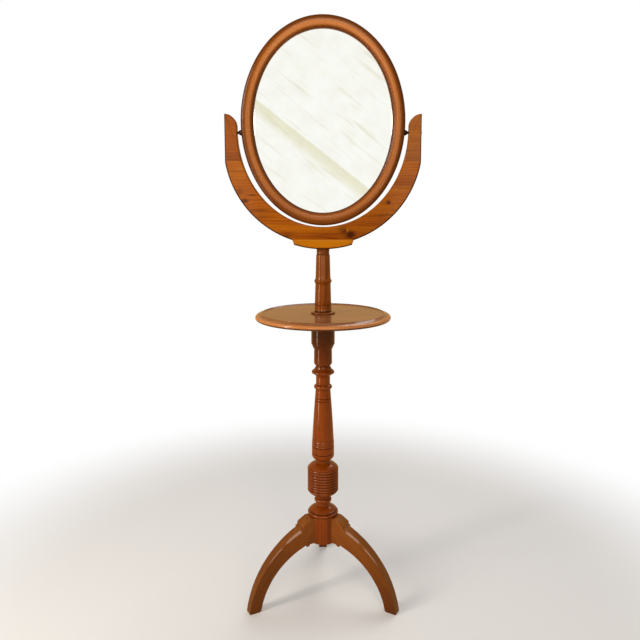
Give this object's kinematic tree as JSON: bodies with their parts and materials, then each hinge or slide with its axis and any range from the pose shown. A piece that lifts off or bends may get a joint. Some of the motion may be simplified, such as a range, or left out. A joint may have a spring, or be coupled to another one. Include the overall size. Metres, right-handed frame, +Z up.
{
  "type": "shaving stand",
  "caption": "Floor-standing wooden shaving stand: oval mirror tilting in a curved yoke over a round tray, on a turned column with splayed sabre legs.",
  "frame": {"origin": "on the floor, straight below the axis of the turned column", "axes": "+Z up; the mirror faces -Y; +X to the right of someone facing the mirror"},
  "size_m": [0.5194, 0.4161, 1.5798],
  "materials": {
    "column_wood": "glossy red-brown varnish",
    "leg_wood": "glossy varnish",
    "tray_wood": "glossy varnish",
    "post_wood": "glossy varnish",
    "saddle_wood": "glossy varnish",
    "yoke_wood": "glossy varnish, knotty pine",
    "frame_wood": "glossy varnish",
    "dowel_wood": "raw beech",
    "block_wood": "raw softwood",
    "backboard_wood": "thin stained board",
    "silvered_glass": "polished",
    "pivot_iron": "blackened",
    "screw_iron": "dull, slightly tarnished"
  },
  "bodies": {
    "stand": {"column": "column_wood", "leg_left": "leg_wood", "leg_right": "leg_wood", "leg_back": "leg_wood", "tray": "tray_wood", "tray_screws": "screw_iron", "upper_post": "post_wood", "saddle_block": "saddle_wood", "saddle_screws": "screw_iron", "yoke_board": "yoke_wood", "yoke_horn_left": "yoke_wood", "yoke_horn_right": "yoke_wood", "yoke_dowels": "dowel_wood", "pivot_screw_left": "pivot_iron", "pivot_screw_right": "pivot_iron"},
    "mirror": {"mirror_frame": "frame_wood", "mirror_glass": "silvered_glass", "glazing_blocks": "block_wood", "backing_board": "backboard_wood", "backing_screws": "screw_iron", "pivot_boss_left": "pivot_iron", "pivot_boss_right": "pivot_iron"}
  },
  "joints": [
    {"name": "mirror_tilt", "type": "hinge", "parent": "stand", "child": "mirror", "pos_m": [0, 0, 1.2818], "axis": [1, 0, 0], "range_deg": [-160, 160]}
  ]
}
